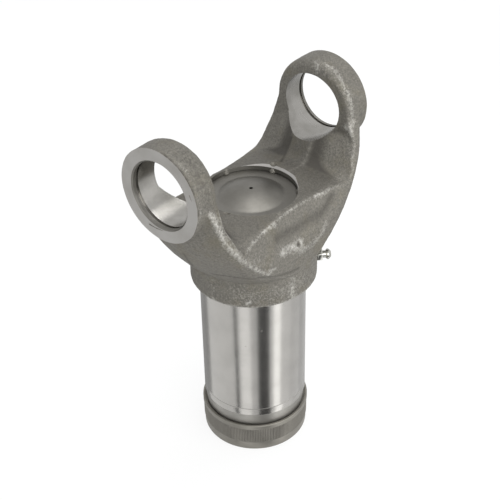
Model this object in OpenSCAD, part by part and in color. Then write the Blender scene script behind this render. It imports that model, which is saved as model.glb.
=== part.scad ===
// Sliding yoke of a propeller shaft: a steel forging with a splined sleeve, in millimetres.
// The sleeve's axis is Z, the cross bores' axis is X, and Z = 0 is the dust cap's lower face.

/* [Ears] */
// Distance between the two machined outer faces of the ears
ear_span = 145.4; // [138:0.2:156]
// Distance between the forged inner faces of the ears
ear_gap = 110.5; // [106:0.5:120]
// Diameter of the bearing bores
bore_d = 39; // [32:0.5:43]
// Outside radius of the ear bosses
boss_r = 27.2; // [25:0.1:30]
// Height of the bore axis above the collar's lower face
bore_above_collar = 88.7; // [82:0.1:98]
// Edge radius where a boss meets its forged inner face
boss_edge_r = 7; // [2.5:0.5:8]
// Draft of the forged inner faces, to both sides of the parting line
ear_draft = 2; // [1:0.5:4]
// Width of the lip outside each snap ring groove
lip_w = 2.6; // [1.5:0.1:4]
// Width of each snap ring groove
groove_w = 1.7; // [1:0.1:2.5]
// Depth of each snap ring groove
groove_depth = 1.4; // [0.6:0.1:2]
// Chamfer at each bore's mouth
mouth_chamfer = 0.8; // [0.3:0.1:1.5]

/* [Body] */
// Radius of the outline that flares from the collar to the ears
flare_arc_r = 90.5; // [86:0.5:96]
// Outside radius of the arms at the height of the bore axis
arm_r = 70.8; // [68:0.1:72.5]
// Radius of the outline of the arms seen along the bore axis
flank_arc_r = 220; // [200:5:260]
// Half width of the body across the flanks
flank_half = 37.9; // [36.5:0.1:40]
// Direction in which the broken corners between flank and flare look, from X
corner_turn = 60; // [55:1:65]
// Radius of the broken corners' outline
corner_arc_r = 79; // [74:0.5:90]
// Height of their widest place below the bore axis
corner_drop = 18.4; // [14:0.2:24]
// Depth to which the corners are broken there
corner_break = 0.4; // [0.2:0.1:1]
// Radius of the shallow hollow across the front and the back
scallop_r = 250; // [200:10:400]
// Lean of that hollow towards the middle
scallop_lean = 18.5; // [14:0.5:22]
// Distance of that hollow from the middle, at the height of the saddle floor
scallop_y = 28.6; // [27.5:0.1:32]
// Width of the line that the trimmed flash leaves down the arms and the collar
flash_w = 1.4; // [0.8:0.1:2.5]
// Height of that line
flash_h = 0.3; // [0.1:0.1:0.5]
// Outside radius of the forged collar
collar_r = 37.2; // [36:0.1:39]
// Height of the collar's straight side
collar_h = 19.3; // [15:0.1:24]

/* [Saddle] */
// Depth of the saddle floor below the bore axis
saddle_depth = 30.5; // [28:0.1:33]
// Half length of the flat part of the saddle floor
saddle_half = 35.5; // [33:0.5:38]
// Radius between the floor and the arms
saddle_corner_r = 9; // [6:0.5:12]
// Lean of the arms' inner sides
arm_lean = 26; // [22:0.5:29]
// Depth of the shoulder's lower edge below the bore axis
shoulder_depth = 11.8; // [10:0.1:14]
// Height of the shoulder under each ear
shoulder_h = 4.4; // [3:0.1:6]
// Half width of the flat band down the inner side of each arm
band_half = 6.5; // [4:0.5:9]
// Turn of the hollows beside that band, seen from above
hollow_turn = 14.6; // [10:0.1:18]
// Fall of the hollows towards the front and the back
hollow_fall = 9.5; // [6:0.5:11]

/* [Sleeve] */
// Diameter of the ground sleeve
sleeve_d = 64; // [62:0.5:68]
// Length of the sleeve from its lower end to the collar
sleeve_l = 108.4; // [90:0.2:130]
// Diameter of the threaded lower end
thread_d = 62; // [60:0.1:62]
// Length of the threaded lower end
thread_l = 20; // [16:0.5:22]
// Chamfer on the ground sleeve's lower edge
sleeve_chamfer = 0.6; // [0.2:0.1:0.9]

/* [Splines] */
// Number of splines
spline_count = 16; // [10:1:24]
// Diameter across the bottoms of the spline grooves
spline_major_d = 50; // [48:0.5:50]
// Diameter across the tips of the splines
spline_minor_d = 43.6; // [42:0.2:45]
// Share of each pitch that the groove takes at the groove's bottom
groove_share = 0.46; // [0.38:0.01:0.5]
// Slope of a groove's sides
spline_side_angle = 12; // [6:1:18]
// Length of the plain entry below the splines
entry_l = 6; // [3:0.5:10]
// Clearance of the plain entry round the splines
entry_clear = 0.4; // [0.2:0.1:1]
// Length of the relief above the splines
relief_l = 9; // [6:0.5:14]

/* [Core plug] */
// Diameter of the plug's seat
plug_d = 53.8; // [53:0.1:56]
// Interference left out of the plug, on the radius
plug_clear = 0.03; // [0.01:0.01:0.1]
// Thickness of the plug's sheet
plug_t = 2.5; // [1.5:0.1:3]
// Depth of the plug's rim below the saddle floor
plug_sink = 4.1; // [3.2:0.1:5]
// Radius of the plug's dome
dome_r = 19.4; // [16:0.1:21]
// Height of the dome
dome_h = 4.2; // [2.5:0.1:5.5]
// Diameter of the vent hole
vent_d = 2.2; // [1:0.1:3]
// Chamfer at the top of the seat
seat_chamfer = 1.2; // [0.6:0.1:2]
// Number of stakes that hold the plug
stake_count = 6; // [4:1:8]
// Direction of the first stake
stake_angle = 13; // [0:1:30]
// Radius of each stake
stake_r = 1.8; // [1.2:0.1:2.2]
// How far each stake reaches over the plug
stake_reach = 1.2; // [0.6:0.1:1.6]
// Height of each stake
stake_h = 1; // [0.6:0.1:1.2]

/* [Dust cap] */
// Outside radius of the cap's lip
cap_r = 33.5; // [33:0.1:35]
// Height of the cap
cap_h = 20.7; // [17:0.1:22]
// Thickness of the cap's floor
cap_floor = 2; // [1.2:0.1:3]
// Radius of the hole for the shaft
cap_hole_r = 25.6; // [25.2:0.1:27]
// Height of the plain band under the lip
lip_band_h = 4; // [3:0.1:6]
// Height of the knurled band
knurl_h = 10.4; // [7:0.1:11]
// Depth of the knurled band below the lip's surface
knurl_step = 0.3; // [0.1:0.05:0.5]
// Number of knurls
knurl_count = 150; // [90:1:180]
// Depth of the knurls
knurl_depth = 0.35; // [0.2:0.05:0.6]
// Depth of the smooth base below the knurls
base_step = 0.1; // [0.05:0.05:0.3]
// Edge radius round the floor
cap_edge_r = 1.5; // [1:0.1:4]
// Chamfer round the lip
lip_chamfer = 0.3; // [0.1:0.1:0.6]
// Gap between the lip and the sleeve
lip_gap = 1.3; // [0.4:0.1:1.4]
// Depth of that gap
lip_gap_depth = 2; // [1:0.5:3]
// How much narrower the seal's pocket is than the thread, on the radius
pocket_step = 0.7; // [0.3:0.1:1.2]
// Depth of the seal's pocket
pocket_h = 4.5; // [3:0.1:5]
// Clearance between the threads, on the radius
thread_clear = 0.05; // [0.02:0.01:0.1]
// Thickness of the steel washer
washer_t = 1.5; // [1:0.1:2.5]
// Thickness of the cork seal when the cap is tight
cork_t = 5; // [3:0.1:7]
// Clearance of the washer and the seal inside the cap
ring_clear = 0.4; // [0.1:0.1:0.8]
// Clearance of the washer and the seal round the shaft
shaft_clear = 0.2; // [0.1:0.05:0.5]

/* [Grease fitting] */
// Direction of the fitting, from +X
fitting_angle = -45; // [-48:1:-42]
// Height of the fitting above the collar's lower face
fitting_above_collar = 9; // [7:0.1:12]
// Width of the hexagon across its flats
hex_af = 7; // [7:0.1:8]
// Length of the hexagon
hex_l = 3.2; // [2.5:0.1:4]
// Diameter of the fitting's thread
fitting_thread_d = 6; // [5:0.1:6.5]
// Length of the fitting's thread
fitting_thread_l = 5.5; // [4:0.1:6.5]
// Length of the head beyond the hexagon
head_l = 5.2; // [4.8:0.1:6.5]
// Largest diameter of the head
head_d = 6.5; // [6.3:0.1:6.8]
// Length of the head's straight part
barrel_l = 0.8; // [0.4:0.1:1.2]
// Diameter of the neck
neck_d = 4.6; // [4.4:0.1:5]
// Clearance of the fitting's thread in its hole, on the radius
fitting_clear = 0.02; // [0.01:0.01:0.05]
// Diameter of the mouth
mouth_d = 2.2; // [1.8:0.1:2.4]
// Wall round the mouth
mouth_wall = 0.7; // [0.5:0.1:0.8]
// Diameter of the check ball
ball_d = 2.8; // [2.6:0.1:3]
// Clearance between the ball and what it seats on
ball_clear = 0.05; // [0.02:0.01:0.08]
// Depth of the ball's top below the mouth
ball_recess = 0.2; // [0.1:0.05:0.4]
// Travel of the ball
ball_travel = 1; // [0.6:0.1:1.2]
// Diameter of the spring's wire
wire_d = 0.35; // [0.25:0.05:0.4]
// Number of the spring's turns
spring_turns = 6; // [4:1:7]
// Length left to the spring when the ball is pushed in
spring_spare = 0.6; // [0.3:0.1:0.8]
// Diameter of the grease passage
passage_d = 1.6; // [1.2:0.1:1.8]
// Radius of the forged pad above the fitting
pad_r = 13; // [10:0.5:16]
// Lean of that pad
pad_lean = 30; // [26:1:36]
// How far the collar stands out under the fitting
pad_out = 1.3; // [0.6:0.1:2]

/* [Hidden] */

$fn = 84;
// A cut reaches this far past the surface that it opens
past = 1;
bore_r = bore_d / 2;
face_x = ear_span / 2;
inner_x = ear_gap / 2;
sleeve_r = sleeve_d / 2;
thread_r = thread_d / 2;
major_r = spline_major_d / 2;
minor_r = spline_minor_d / 2;

// Heights, from the dust cap's lower face up
washer_z = cap_floor;
cork_z = washer_z + washer_t;
sleeve_z = cork_z + cork_t;
collar_z = sleeve_z + sleeve_l;
corner_z = collar_z + collar_h;
ear_z = collar_z + bore_above_collar;
floor_z = ear_z - saddle_depth;
plug_top_z = floor_z - plug_sink;
seat_z = plug_top_z - plug_t;
top_z = ear_z + boss_r;
shoulder_z = ear_z - shoulder_depth;

// The saddle is cut out to this half width, which is past the widest flank
saddle_w = 2 * boss_r;
draft_end_x = inner_x + saddle_w * tan(ear_draft);
corner_flats = 5;
fitting_z = collar_z + fitting_above_collar;

// Inside of the dust cap
cap_bore_r = thread_r + thread_clear;
pocket_r = cap_bore_r - pocket_step;

// Heights inside the fitting, from its seat on the collar out
tip_z = hex_l + head_l;
chamber_r = ball_d / 2 + ball_clear;
ball_z = tip_z - ball_recess - ball_d / 2;
coil_r = ball_d / 2 - wire_d / 2;
spring_top = ball_z - sqrt(pow((ball_d + wire_d) / 2, 2) - pow(coil_r, 2)) - ball_clear;
chamber_end = ball_z - ball_d / 2 - ball_travel - (spring_turns + 1) * wire_d - spring_spare;

// Steel
forged = "#827f77";
ground = "#b9b8b4";
pressed = "#8c8a84";
plated = "#c9c8c0";
cork_brown = "#9a7648";

// Inner side of an arm at the height z, above the corner
function lean_x(z) =
  saddle_half + saddle_corner_r * cos(arm_lean)
  + (z - floor_z - saddle_corner_r * (1 - sin(arm_lean))) * tan(arm_lean);

// The saddle's floor in the XZ plane, from the line x = from_x, and its corner in short flats
function floor_points(from_x) = concat(
  [[from_x, floor_z], [saddle_half, floor_z]],
  [for (i = [1 : corner_flats]) let (a = (90 - arm_lean) * i / corner_flats)
    [saddle_half + saddle_corner_r * sin(a), floor_z + saddle_corner_r * (1 - cos(a))]]
);

// The outline stood up in the XZ plane and drawn out along +Y
module along_y(length) {
  rotate([90, 0, 0]) mirror([0, 0, 1]) linear_extrude(length) children();
}

// From the middle to one arm: floor, corner, leaning side and the shoulder under the ear
module saddle_outline() {
  foot = [lean_x(shoulder_z), shoulder_z];
  slope = shoulder_h / (inner_x - foot.x);
  polygon(concat(floor_points(-past), [
    foot, [draft_end_x, shoulder_z + slope * (draft_end_x - foot.x)],
    [draft_end_x, top_z + past], [-past, top_z + past]
  ]));
}

// The forged inner faces lean away from the parting line, which lies at Y = 0
module draft_outline() {
  polygon([
    [-past, -saddle_w], [draft_end_x, -saddle_w], [inner_x, 0],
    [draft_end_x, saddle_w], [-past, saddle_w]
  ]);
}

// One hollow beside the flat band: it turns outwards and falls from the band's edge
module saddle_hollow() {
  pivot_x = saddle_half + saddle_corner_r;
  translate([pivot_x, band_half, floor_z]) rotate([-hollow_fall, 0, -hollow_turn])
    translate([-pivot_x, -band_half, -floor_z]) along_y(2 * saddle_w)
      polygon(concat(floor_points(-saddle_w), [[lean_x(2 * top_z), 2 * top_z], [-saddle_w, 2 * top_z]]));
}

module saddle_cut() {
  for (side = [0, 1]) mirror([side, 0, 0]) intersection() {
    translate([0, 0, collar_z]) linear_extrude(top_z) draft_outline();
    union() {
      translate([0, -saddle_w, 0]) along_y(2 * saddle_w) saddle_outline();
      for (end = [0, 1]) mirror([0, end, 0]) saddle_hollow();
    }
  }
}

// The flared body: an arc turned about the sleeve's axis, from inside the collar to the bore axis
module flared_body(proud = 0) {
  start_z = corner_z - collar_h / 2;
  rotate_extrude() intersection() {
    translate([arm_r - flare_arc_r, ear_z]) circle(r = flare_arc_r + proud, $fn = 108);
    translate([0, start_z]) square([2 * arm_r, ear_z - start_z - 2 * proud]);
  }
}

// The dies part in the XZ plane
module flash_line() {
  intersection() {
    flared_body(flash_h);
    translate([-2 * arm_r, -flash_w / 2, collar_z]) cube([4 * arm_r, flash_w, top_z]);
  }
}

// What both flanks leave of the body, seen along the bore axis
module flank_limits() {
  intersection_for(side = [-1, 1])
    translate([0, side * (flank_arc_r - flank_half), corner_z])
      rotate([0, 90, 0]) cylinder(r = flank_arc_r, h = 4 * arm_r, center = true, $fn = 180);
}

// How far the sharp corner of flank and flare reaches in the direction that its broken face looks
function corner_reach(z) =
  let (r = arm_r - flare_arc_r + sqrt(pow(flare_arc_r, 2) - pow(ear_z - z, 2)),
       y = flank_half - flank_arc_r + sqrt(pow(flank_arc_r, 2) - pow(z - corner_z, 2)))
  sqrt(r * r - y * y) * cos(corner_turn) + y * sin(corner_turn);

// What the broken corners leave of the body
module corner_limits() {
  widest_z = ear_z - corner_drop;
  intersection_for(side = [0, 1], end = [0, 1])
    mirror([side, 0, 0]) mirror([0, end, 0]) rotate([0, 0, corner_turn])
      translate([corner_reach(widest_z) - corner_break - corner_arc_r, 0, widest_z])
        rotate([90, 0, 0]) cylinder(r = corner_arc_r, h = 4 * arm_r, center = true, $fn = 144);
}

module scallop_cuts() {
  for (side = [-1, 1])
    translate([0, side * scallop_y, floor_z])
      rotate([side * scallop_lean, 0, 0])
        translate([0, side * scallop_r, 0])
          cylinder(r = scallop_r, h = 2 * arm_r, center = true, $fn = 180);
}

// A boss turned about the bore axis. The saddle's cut trims its inner end to the drafted face.
module ear_boss() {
  start = inner_x - past;
  translate([0, 0, ear_z]) rotate([0, 90, 0]) rotate_extrude() {
    translate([0, start + boss_edge_r]) square([boss_r, face_x - start - boss_edge_r]);
    translate([0, start]) square([boss_r - boss_edge_r, 2 * boss_edge_r]);
    translate([boss_r - boss_edge_r, start + boss_edge_r]) circle(r = boss_edge_r, $fn = 32);
  }
}

// Bore, mouth chamfer and snap ring groove of one ear
module ear_bore() {
  translate([0, 0, ear_z]) rotate([0, 90, 0]) {
    cylinder(r = bore_r, h = face_x + past);
    translate([0, 0, face_x - lip_w - groove_w]) cylinder(r = bore_r + groove_depth, h = groove_w);
    translate([0, 0, face_x - mouth_chamfer])
      cylinder(r1 = bore_r, r2 = bore_r + 2 * mouth_chamfer, h = 2 * mouth_chamfer);
  }
}

// The collar stands out a little towards the fitting
module collar() {
  translate([0, 0, collar_z]) linear_extrude(collar_h) {
    circle(r = collar_r);
    square([2 * (collar_r + flash_h), flash_w], center = true);
    rotate(fitting_angle) translate([2 * pad_out, 0]) circle(r = collar_r - pad_out);
  }
}

// A leaning pad joins the collar to the flare above the fitting
module fitting_pad() {
  rotate([0, 0, fitting_angle]) translate([collar_r + pad_out, 0, fitting_z + hex_af / 2])
    rotate([0, pad_lean, 0]) translate([-pad_r, 0, 0]) cylinder(r = pad_r, h = pad_r);
}

// Outside of the sleeve, with the reduced end for the cap's thread
module sleeve_outside() {
  translate([0, 0, sleeve_z]) cylinder(r = thread_r, h = sleeve_l);
  translate([0, 0, sleeve_z + thread_l + sleeve_chamfer])
    cylinder(r = sleeve_r, h = sleeve_l - thread_l);
  translate([0, 0, sleeve_z + thread_l])
    cylinder(r1 = sleeve_r - sleeve_chamfer, r2 = sleeve_r, h = sleeve_chamfer);
}

// One groove between two splines, drawn in the XY plane and centred on +X
module spline_groove() {
  bottom_half = PI * major_r / spline_count * groove_share;
  top_half = bottom_half - (major_r - minor_r) * tan(spline_side_angle);
  mouth = minor_r - past;
  polygon([
    [mouth, -top_half], [minor_r, -top_half], [major_r, -bottom_half],
    [major_r, bottom_half], [minor_r, top_half], [mouth, top_half]
  ]);
}

// The splined bore, its plain entry and the relief under the plug
module spline_bore() {
  spline_l = seat_z - sleeve_z;
  translate([0, 0, sleeve_z - past]) cylinder(r = minor_r, h = spline_l + 2 * past);
  intersection() {
    translate([0, 0, sleeve_z]) linear_extrude(spline_l)
      for (i = [0 : spline_count - 1]) rotate(i * 360 / spline_count) spline_groove();
    translate([0, 0, sleeve_z - past]) cylinder(r = major_r, h = spline_l + 2 * past);
  }
  translate([0, 0, sleeve_z - past]) cylinder(r = major_r + entry_clear, h = entry_l + past);
  translate([0, 0, seat_z - relief_l]) cylinder(r = major_r, h = relief_l + past);
}

// Counterbore and chamfer for the plug
module plug_seat() {
  plug_r = plug_d / 2;
  translate([0, 0, seat_z]) cylinder(r = plug_r, h = top_z);
  translate([0, 0, floor_z - seat_chamfer])
    cylinder(r1 = plug_r, r2 = plug_r + 2 * seat_chamfer, h = 2 * seat_chamfer);
}

// Metal pressed over the plug's rim in a few places
module stakes() {
  for (i = [0 : stake_count - 1]) rotate(stake_angle + i * 360 / stake_count)
    translate([plug_d / 2 + stake_r - stake_reach, 0, plug_top_z + plug_clear])
      cylinder(r = stake_r, h = stake_h);
}

// Threaded hole and grease passage, from the pad into the splined bore
module grease_hole() {
  rotate([0, 0, fitting_angle]) translate([0, 0, fitting_z]) rotate([0, 90, 0]) {
    cylinder(d = passage_d + past, h = collar_r);
    translate([0, 0, collar_r + pad_out - fitting_thread_l - past])
      cylinder(d = fitting_thread_d, h = 2 * fitting_thread_l);
  }
}

module yoke() {
  color(forged) {
    difference() {
      union() {
        difference() {
          intersection() {
            flared_body();
            flank_limits();
            corner_limits();
          }
          scallop_cuts();
        }
        for (side = [0, 1]) mirror([side, 0, 0]) ear_boss();
        flash_line();
        collar();
        fitting_pad();
        sleeve_outside();
      }
      saddle_cut();
      for (side = [0, 1]) mirror([side, 0, 0]) ear_bore();
      spline_bore();
      plug_seat();
      grease_hole();
    }
    stakes();
  }
}

// The plug is pressed from sheet: a flat rim and a shallow dome with a vent hole
module core_plug() {
  sphere_r = (pow(dome_r, 2) + pow(dome_h, 2)) / (2 * dome_h);
  rim_r = plug_d / 2 - plug_clear;
  color(pressed) difference() {
    union() {
      translate([0, 0, seat_z]) cylinder(r = rim_r, h = plug_t);
      intersection() {
        translate([0, 0, plug_top_z + dome_h - sphere_r]) sphere(r = sphere_r);
        translate([0, 0, seat_z]) cylinder(r = dome_r, h = plug_t + dome_h + past);
      }
    }
    intersection() {
      translate([0, 0, plug_top_z + dome_h - sphere_r]) sphere(r = sphere_r - plug_t);
      translate([0, 0, seat_z - past]) cylinder(r = dome_r, h = plug_t + dome_h);
    }
    translate([0, 0, seat_z]) cylinder(d = vent_d, h = plug_t + dome_h + past);
  }
}

// The rest of the fitting is drawn about +Z with its seat on the pad at Z = 0
module on_fitting_axis() {
  rotate([0, 0, fitting_angle]) translate([collar_r + pad_out, 0, fitting_z])
    rotate([0, 90, 0]) children();
}

module grease_fitting() {
  head_r = head_d / 2;
  neck_r = neck_d / 2;
  mouth_r = mouth_d / 2 + mouth_wall;
  wide_z = tip_z - (head_r - mouth_r);
  color(plated) on_fitting_axis() difference() {
    union() {
      translate([0, 0, -fitting_thread_l])
        cylinder(r = fitting_thread_d / 2 - fitting_clear, h = fitting_thread_l);
      cylinder(r = hex_af / 2 / cos(30), h = hex_l, $fn = 6);
      rotate_extrude() polygon([
        [0, 0], [neck_r, 0], [neck_r, wide_z - barrel_l - (head_r - neck_r)],
        [head_r, wide_z - barrel_l], [head_r, wide_z], [mouth_r, tip_z], [0, tip_z]
      ]);
    }
    translate([0, 0, -fitting_thread_l - past])
      cylinder(d = passage_d, h = tip_z + 2 * fitting_thread_l);
    translate([0, 0, chamber_end]) cylinder(r = chamber_r, h = ball_z - chamber_end);
    translate([0, 0, ball_z]) sphere(r = chamber_r);
    cylinder(d = mouth_d, h = tip_z + past);
  }
}

module check_ball() {
  color(ground) on_fitting_axis() translate([0, 0, ball_z]) sphere(d = ball_d);
}

// Points of one ring round the spring's wire, at the angle a along the coil
function wire_ring(a, z, sides) = [
  for (j = [0 : sides - 1])
    let (b = 360 * j / sides, r = coil_r + wire_d / 2 * cos(b))
    [r * cos(a), r * sin(a), z + wire_d / 2 * sin(b)]
];

// The coil rests on the chamber's floor and ends just under the ball
module check_spring() {
  sides = 6;
  per_turn = 10;
  rings = spring_turns * per_turn;
  low = chamber_end + wire_d / 2 + ball_clear;
  points = [
    for (i = [0 : rings])
      each wire_ring(360 * i / per_turn, low + (spring_top - low) * i / rings, sides)
  ];
  skin = [
    for (i = [0 : rings - 1], j = [0 : sides - 1])
      let (k = (j + 1) % sides, a = i * sides)
      [a + j, a + k, a + sides + k, a + sides + j]
  ];
  first = [for (j = [sides - 1 : -1 : 0]) j];
  last = [for (j = [0 : sides - 1]) rings * sides + j];
  color(ground) on_fitting_axis() polyhedron(points, concat([first], skin, [last]));
}

// The knurled band's outline, one tooth for each pair of points
module knurl_outline() {
  crest = cap_r - knurl_step;
  polygon([
    for (i = [0 : 2 * knurl_count - 1])
      let (a = 180 * i / knurl_count, r = i % 2 == 0 ? crest : crest - knurl_depth)
      [r * cos(a), r * sin(a)]
  ]);
}

module dust_cap() {
  base_r = cap_r - knurl_step - knurl_depth - base_step;
  knurl_z = cap_h - lip_band_h - knurl_h;
  color(pressed) difference() {
    union() {
      rotate_extrude() {
        square([base_r - cap_edge_r, cap_h]);
        translate([0, cap_edge_r]) square([base_r, cap_h - cap_edge_r - past]);
        translate([base_r - cap_edge_r, cap_edge_r]) circle(r = cap_edge_r);
      }
      translate([0, 0, knurl_z]) linear_extrude(knurl_h + past) knurl_outline();
      translate([0, 0, cap_h - lip_band_h])
        cylinder(r = cap_r, h = lip_band_h - lip_chamfer);
      translate([0, 0, cap_h - lip_chamfer])
        cylinder(r1 = cap_r, r2 = cap_r - lip_chamfer, h = lip_chamfer);
    }
    translate([0, 0, -past]) cylinder(r = cap_hole_r, h = cap_h);
    translate([0, 0, cap_floor]) cylinder(r = pocket_r, h = cap_h);
    translate([0, 0, cap_floor + pocket_h]) cylinder(r = cap_bore_r, h = cap_h);
    translate([0, 0, cap_h - lip_gap_depth]) cylinder(r = thread_r + lip_gap, h = cap_h);
  }
}

// A flat ring in the seal's pocket
module pocket_ring(z, h) {
  translate([0, 0, z]) rotate_extrude()
    translate([major_r + shaft_clear, 0])
      square([pocket_r - ring_clear - major_r - shaft_clear, h]);
}

module seal_washer() {
  color(ground) pocket_ring(washer_z, washer_t);
}

module cork_seal() {
  color(cork_brown) pocket_ring(cork_z, cork_t);
}

yoke();
core_plug();
grease_fitting();
check_ball();
check_spring();
dust_cap();
seal_washer();
cork_seal();
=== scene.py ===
"""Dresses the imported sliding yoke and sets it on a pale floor.

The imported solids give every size. The forging is remeshed from its solid, roughened, and machined
again, so that the cut faces break through the rough skin as they do on the real one.
"""

import logging
import math
from dataclasses import dataclass
from enum import Enum

import bmesh
import bpy
import numpy as np
from mathutils import Matrix, Vector, noise

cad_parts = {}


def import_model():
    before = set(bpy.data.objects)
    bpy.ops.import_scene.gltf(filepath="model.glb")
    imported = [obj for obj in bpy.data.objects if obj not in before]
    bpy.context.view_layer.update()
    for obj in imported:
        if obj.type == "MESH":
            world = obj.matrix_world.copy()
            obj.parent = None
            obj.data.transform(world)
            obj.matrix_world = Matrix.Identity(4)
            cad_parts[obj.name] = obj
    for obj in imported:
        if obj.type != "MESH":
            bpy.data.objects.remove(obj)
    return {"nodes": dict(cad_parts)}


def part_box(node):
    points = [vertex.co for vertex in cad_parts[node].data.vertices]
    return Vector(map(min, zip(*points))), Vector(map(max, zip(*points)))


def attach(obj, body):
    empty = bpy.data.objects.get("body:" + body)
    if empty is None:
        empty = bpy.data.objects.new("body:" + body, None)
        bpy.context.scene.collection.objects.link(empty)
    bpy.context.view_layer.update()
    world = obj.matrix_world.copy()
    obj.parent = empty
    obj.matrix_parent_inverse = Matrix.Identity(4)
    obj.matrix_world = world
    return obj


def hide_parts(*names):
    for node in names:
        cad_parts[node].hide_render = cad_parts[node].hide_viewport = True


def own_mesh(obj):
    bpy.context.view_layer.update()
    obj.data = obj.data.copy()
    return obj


log = logging.getLogger("yoke")

# Pieces are modelled in millimetres and end in metres
MM = 0.001

Point = tuple[float, float, float]
Profile = list[tuple[float, float]]


class Cut(Enum):
    """What one solid does to another."""

    REMOVE = "DIFFERENCE"
    JOIN = "UNION"
    KEEP = "INTERSECT"


# Shared sizes of the object


@dataclass(frozen=True)
class Heights:
    """Heights in mm that more than one piece is set out from."""

    sleeve: float = 8.5
    collar: float = 116.9
    seat: float = 168.5
    plug_top: float = 171.0
    floor: float = 175.1
    bore: float = 205.6


AT = Heights()


# Colour and node helpers


def linear(code: str) -> tuple[float, float, float, float]:
    """Turns an sRGB hex value into a linear colour.

    Args:
        code: Six hex digits after a hash sign.

    Returns:
        Red, green, blue and an alpha of 1.
    """
    parts = [int(code[i : i + 2], 16) / 255 for i in (1, 3, 5)]
    return (*(c / 12.92 if c <= 0.04045 else ((c + 0.055) / 1.055) ** 2.4 for c in parts), 1.0)


def add(
    tree: bpy.types.NodeTree, kind: str, inputs: dict | None = None, **settings: object
) -> bpy.types.Node:
    """Adds a shader node, sets its properties, and sets or links its inputs.

    Args:
        tree: The node tree.
        kind: The node's type without its ShaderNode prefix.
        inputs: Values or output sockets for the node's inputs, by name or number.
        settings: The node's own properties.

    Returns:
        The new node.
    """
    made = tree.nodes.new("ShaderNode" + kind)
    for name, value in settings.items():
        setattr(made, name, value)
    for key, value in (inputs or {}).items():
        if isinstance(value, bpy.types.NodeSocket):
            tree.links.new(value, made.inputs[key])
        else:
            made.inputs[key].default_value = value
    return made


def blank(name: str) -> tuple[bpy.types.Material, bpy.types.NodeTree]:
    """Makes a material with an empty node tree.

    Args:
        name: The finish's name.

    Returns:
        The material and its tree.
    """
    material = bpy.data.materials.new(name)
    material.use_nodes = True
    material.node_tree.nodes.clear()
    return material, material.node_tree


# Finishes

# A finish's roughness swings by this share, up and down, over its surface
SWING = 0.15


@dataclass(frozen=True)
class ForgedSkin:
    """Hot-forged steel, shot-blasted: a dull grey skin with a fine grit, bright where it was rubbed.

    The attribute it reads is above zero where the skin was rubbed bright and below zero where shade is
    painted.
    Shot leaves dents of about 0.4 mm. They are drawn at 0.75 mm, because finer ones wouldn't show.
    """

    name: str = "shot_blasted_forged_steel"
    dark: str = "#585550"
    light: str = "#75726a"
    brown: str = "#66604f"
    worn: str = "#b8b6b0"
    # Painted shade: the dark tone in creases, recesses and on the saddle's inner sides
    scale: str = "#3c3934"
    grit_mm: float = 0.75
    fleck_mm: float = 1.4
    patch_mm: float = 16.0
    grit_height: float = 0.2
    metallic: float = 0.5
    skin_roughness: float = 0.6
    worn_roughness: float = 0.38

    def build(self) -> bpy.types.Material:
        """Makes the material.

        Returns:
            The finished material.
        """
        material, tree = blank(self.name)
        place = add(tree, "TexCoord").outputs["Object"]
        grit, fleck, patch = (
            add(
                tree,
                "TexNoise",
                {"Vector": place, "Scale": 1 / (size * MM), "Detail": detail, "Roughness": 0.65},
            ).outputs["Fac"]
            for size, detail in ((self.grit_mm, 2.0), (self.fleck_mm, 3.0), (self.patch_mm, 3.0))
        )
        grain = add(tree, "Math", {0: grit, 1: fleck}, operation="ADD").outputs[0]
        tone = add(tree, "MapRange", {"Value": grain, "From Min": 0.76, "From Max": 1.24}).outputs["Result"]
        grey = add(
            tree, "Mix", {"Factor": tone, 6: linear(self.dark), 7: linear(self.light)}, data_type="RGBA"
        ).outputs[2]
        tint = add(
            tree, "MapRange", {"Value": patch, "From Min": 0.5, "From Max": 0.72, "To Max": 0.45}
        ).outputs["Result"]
        skin = add(tree, "Mix", {"Factor": tint, 6: grey, 7: linear(self.brown)}, data_type="RGBA").outputs[2]
        wear_and_shade = add(tree, "Attribute", attribute_name="wear_and_shade").outputs["Fac"]
        broken = add(tree, "Math", {0: grain, 1: 0.6, 2: wear_and_shade}, operation="MULTIPLY_ADD").outputs[0]
        bright = add(
            tree, "MapRange", {"Value": broken, "From Min": 0.68, "From Max": 1.6}
        ).outputs["Result"]
        # Painted shade: below zero the skin darkens towards the dark tone
        painted_shade = add(
            tree, "MapRange", {"Value": wear_and_shade, "From Min": -0.1, "From Max": -1.0, "To Max": 0.9}
        ).outputs["Result"]
        shaded_skin = add(
            tree, "Mix", {"Factor": painted_shade, 6: skin, 7: linear(self.scale)}, data_type="RGBA"
        ).outputs[2]
        colour = add(
            tree, "Mix", {"Factor": bright, 6: shaded_skin, 7: linear(self.worn)}, data_type="RGBA"
        ).outputs[2]
        rough = add(
            tree,
            "MapRange",
            {"Value": bright, "To Min": self.skin_roughness, "To Max": self.worn_roughness},
        ).outputs["Result"]
        bump = add(
            tree, "Bump", {"Height": grain, "Strength": 0.55, "Distance": self.grit_height * MM}
        ).outputs["Normal"]
        shader = add(
            tree,
            "BsdfPrincipled",
            {"Base Color": colour, "Metallic": self.metallic, "Roughness": rough, "Normal": bump},
        )
        add(tree, "OutputMaterial", {"Surface": shader.outputs[0]})
        return material


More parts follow.
